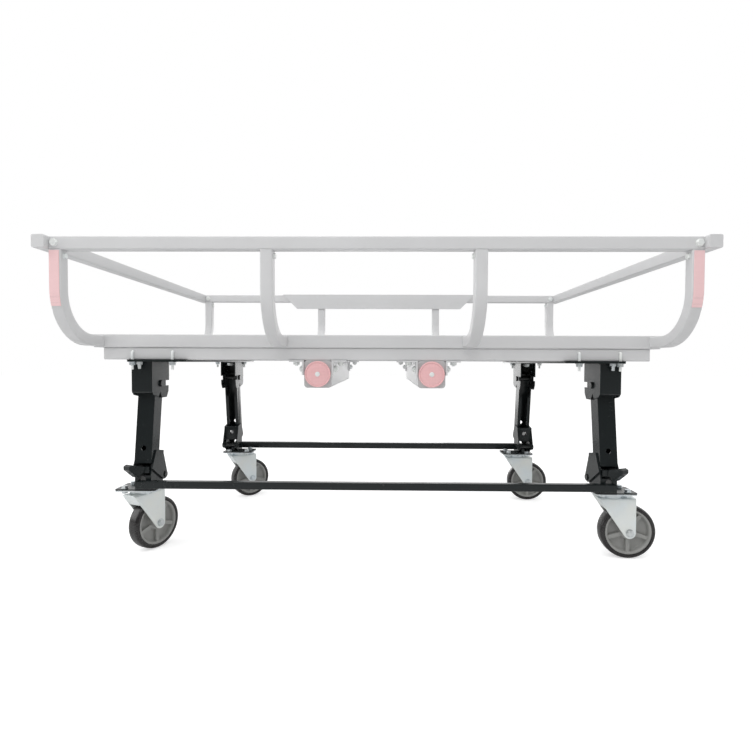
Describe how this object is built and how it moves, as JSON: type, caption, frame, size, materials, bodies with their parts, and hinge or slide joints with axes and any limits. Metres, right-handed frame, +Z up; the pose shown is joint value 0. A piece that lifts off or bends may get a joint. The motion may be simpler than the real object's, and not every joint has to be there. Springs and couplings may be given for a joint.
{
  "type": "folding-leg wheeled basket carrier",
  "caption": "Open tube basket on a flat frame with square slide tubes beneath, carried by folding channel legs with hinged feet, cross rails and swivel casters.",
  "frame": {"origin": "on the floor, under the middle of the carrier", "axes": "+X along the long side, +Y away from the side with the reflectors, +Z up"},
  "size_m": [1.34, 0.924, 0.71],
  "materials": {
    "basket_paint": "satin pale grey powder coat",
    "frame_paint": "satin black powder coat",
    "zinc_hardware": "bright zinc plate",
    "fork_zinc": "pressed steel, zinc plated",
    "tyre_rubber": "matt dark rubber",
    "hub_plastic": "moulded grey nylon",
    "cap_plastic": "moulded dark plastic",
    "reflector_red": "pale red reflective plastic"
  },
  "bodies": {
    "carrier": {"near_top_rail": "basket_paint", "far_top_rail": "basket_paint", "left_side_rail": "basket_paint", "right_side_rail": "basket_paint", "rail_end_caps": "cap_plastic", "far_rail_panel": "basket_paint", "rail_bolts": "zinc_hardware", "post_bolts": "zinc_hardware", "near_corner_posts": "basket_paint", "near_mid_posts": "basket_paint", "far_corner_posts": "basket_paint", "far_mid_posts": "basket_paint", "near_floor_beam": "basket_paint", "far_floor_beam": "basket_paint", "floor_end_beams": "basket_paint", "deck_slats": "basket_paint", "near_lower_beam": "frame_paint", "far_lower_beam": "frame_paint", "left_slide_tube": "frame_paint", "right_slide_tube": "frame_paint", "slide_tube_caps": "cap_plastic", "round_reflectors": "reflector_red", "reflector_screws": "zinc_hardware", "reflector_strips": "reflector_red", "tube_angle_brackets": "frame_paint", "bracket_bolts": "zinc_hardware", "mount_plates": "frame_paint", "hook_bolts": "zinc_hardware", "hook_nuts": "zinc_hardware", "near_leg_brackets": "frame_paint", "far_leg_brackets": "frame_paint", "leg_hinge_pins": "zinc_hardware"},
    "near_leg_pair": {"near_legs": "frame_paint", "near_foot_pins": "zinc_hardware"},
    "near_foot_pair": {"near_feet": "frame_paint", "near_cross_rail": "frame_paint", "near_caster_plates": "zinc_hardware", "near_caster_bolts": "zinc_hardware"},
    "near_left_release": {"near_left_pedal": "frame_paint"},
    "near_left_swivel": {"near_left_fork": "fork_zinc"},
    "near_left_wheel": {"near_left_wheel_hub": "hub_plastic", "near_left_tyre": "tyre_rubber"},
    "near_right_release": {"near_right_pedal": "frame_paint"},
    "near_right_swivel": {"near_right_fork": "fork_zinc"},
    "near_right_wheel": {"near_right_wheel_hub": "hub_plastic", "near_right_tyre": "tyre_rubber"},
    "far_leg_pair": {"far_legs": "frame_paint", "far_foot_pins": "zinc_hardware"},
    "far_foot_pair": {"far_feet": "frame_paint", "far_cross_rail": "frame_paint", "far_caster_plates": "zinc_hardware", "far_caster_bolts": "zinc_hardware"},
    "far_left_release": {"far_left_pedal": "frame_paint"},
    "far_left_swivel": {"far_left_fork": "fork_zinc"},
    "far_left_wheel": {"far_left_wheel_hub": "hub_plastic", "far_left_tyre": "tyre_rubber"},
    "far_right_release": {"far_right_pedal": "frame_paint"},
    "far_right_swivel": {"far_right_fork": "fork_zinc"},
    "far_right_wheel": {"far_right_wheel_hub": "hub_plastic", "far_right_tyre": "tyre_rubber"}
  },
  "joints": [
    {"name": "near_legs_fold", "type": "hinge", "parent": "carrier", "child": "near_leg_pair", "pos_m": [0, -0.238, 0.407], "axis": [-1, 0, 0], "range_deg": [-80, 0]},
    {"name": "far_legs_fold", "type": "hinge", "parent": "carrier", "child": "far_leg_pair", "pos_m": [0, 0.238, 0.407], "axis": [-1, 0, 0], "range_deg": [0, 80]},
    {"name": "near_feet_fold", "type": "hinge", "parent": "near_leg_pair", "child": "near_foot_pair", "pos_m": [0, -0.216, 0.182], "axis": [1, 0, 0], "range_deg": [0, 90]},
    {"name": "far_feet_fold", "type": "hinge", "parent": "far_leg_pair", "child": "far_foot_pair", "pos_m": [0, 0.216, 0.182], "axis": [1, 0, 0], "range_deg": [-90, 0]},
    {"name": "near_left_pedal_press", "type": "hinge", "parent": "near_foot_pair", "child": "near_left_release", "pos_m": [-0.541, -0.268, 0.205], "axis": [1, 0, 0], "range_deg": [0, 12], "stiffness_Nm_per_rad": 2, "springref_deg": -5.73},
    {"name": "near_left_caster_swivel", "type": "hinge", "parent": "near_foot_pair", "child": "near_left_swivel", "pos_m": [-0.562, -0.248, 0.15], "axis": [0, 0, 1], "continuous": true},
    {"name": "near_left_wheel_spin", "type": "hinge", "parent": "near_left_swivel", "child": "near_left_wheel", "pos_m": [-0.54679, -0.21537, 0.0635], "axis": [-0.9063, 0.4226, 0], "continuous": true},
    {"name": "near_right_pedal_press", "type": "hinge", "parent": "near_foot_pair", "child": "near_right_release", "pos_m": [0.541, -0.268, 0.205], "axis": [1, 0, 0], "range_deg": [0, 12], "stiffness_Nm_per_rad": 2, "springref_deg": -5.73},
    {"name": "near_right_caster_swivel", "type": "hinge", "parent": "near_foot_pair", "child": "near_right_swivel", "pos_m": [0.562, -0.248, 0.15], "axis": [0, 0, 1], "continuous": true},
    {"name": "near_right_wheel_spin", "type": "hinge", "parent": "near_right_swivel", "child": "near_right_wheel", "pos_m": [0.59795, -0.24988, 0.0635], "axis": [0.0523, 0.9986, 0], "continuous": true},
    {"name": "far_left_pedal_press", "type": "hinge", "parent": "far_foot_pair", "child": "far_left_release", "pos_m": [-0.49, 0.268, 0.205], "axis": [-1, 0, 0], "range_deg": [0, 12], "stiffness_Nm_per_rad": 2, "springref_deg": -5.73},
    {"name": "far_left_caster_swivel", "type": "hinge", "parent": "far_foot_pair", "child": "far_left_swivel", "pos_m": [-0.468, 0.248, 0.15], "axis": [0, 0, 1], "continuous": true},
    {"name": "far_left_wheel_spin", "type": "hinge", "parent": "far_left_swivel", "child": "far_left_wheel", "pos_m": [-0.43963, 0.27016, 0.0635], "axis": [-0.6157, 0.788, 0], "continuous": true},
    {"name": "far_right_pedal_press", "type": "hinge", "parent": "far_foot_pair", "child": "far_right_release", "pos_m": [0.49, 0.268, 0.205], "axis": [-1, 0, 0], "range_deg": [0, 12], "stiffness_Nm_per_rad": 2, "springref_deg": -5.73},
    {"name": "far_right_caster_swivel", "type": "hinge", "parent": "far_foot_pair", "child": "far_right_swivel", "pos_m": [0.468, 0.248, 0.15], "axis": [0, 0, 1], "continuous": true},
    {"name": "far_right_wheel_spin", "type": "hinge", "parent": "far_right_swivel", "child": "far_right_wheel", "pos_m": [0.50398, 0.24674, 0.0635], "axis": [0.0349, 0.9994, 0], "continuous": true}
  ]
}
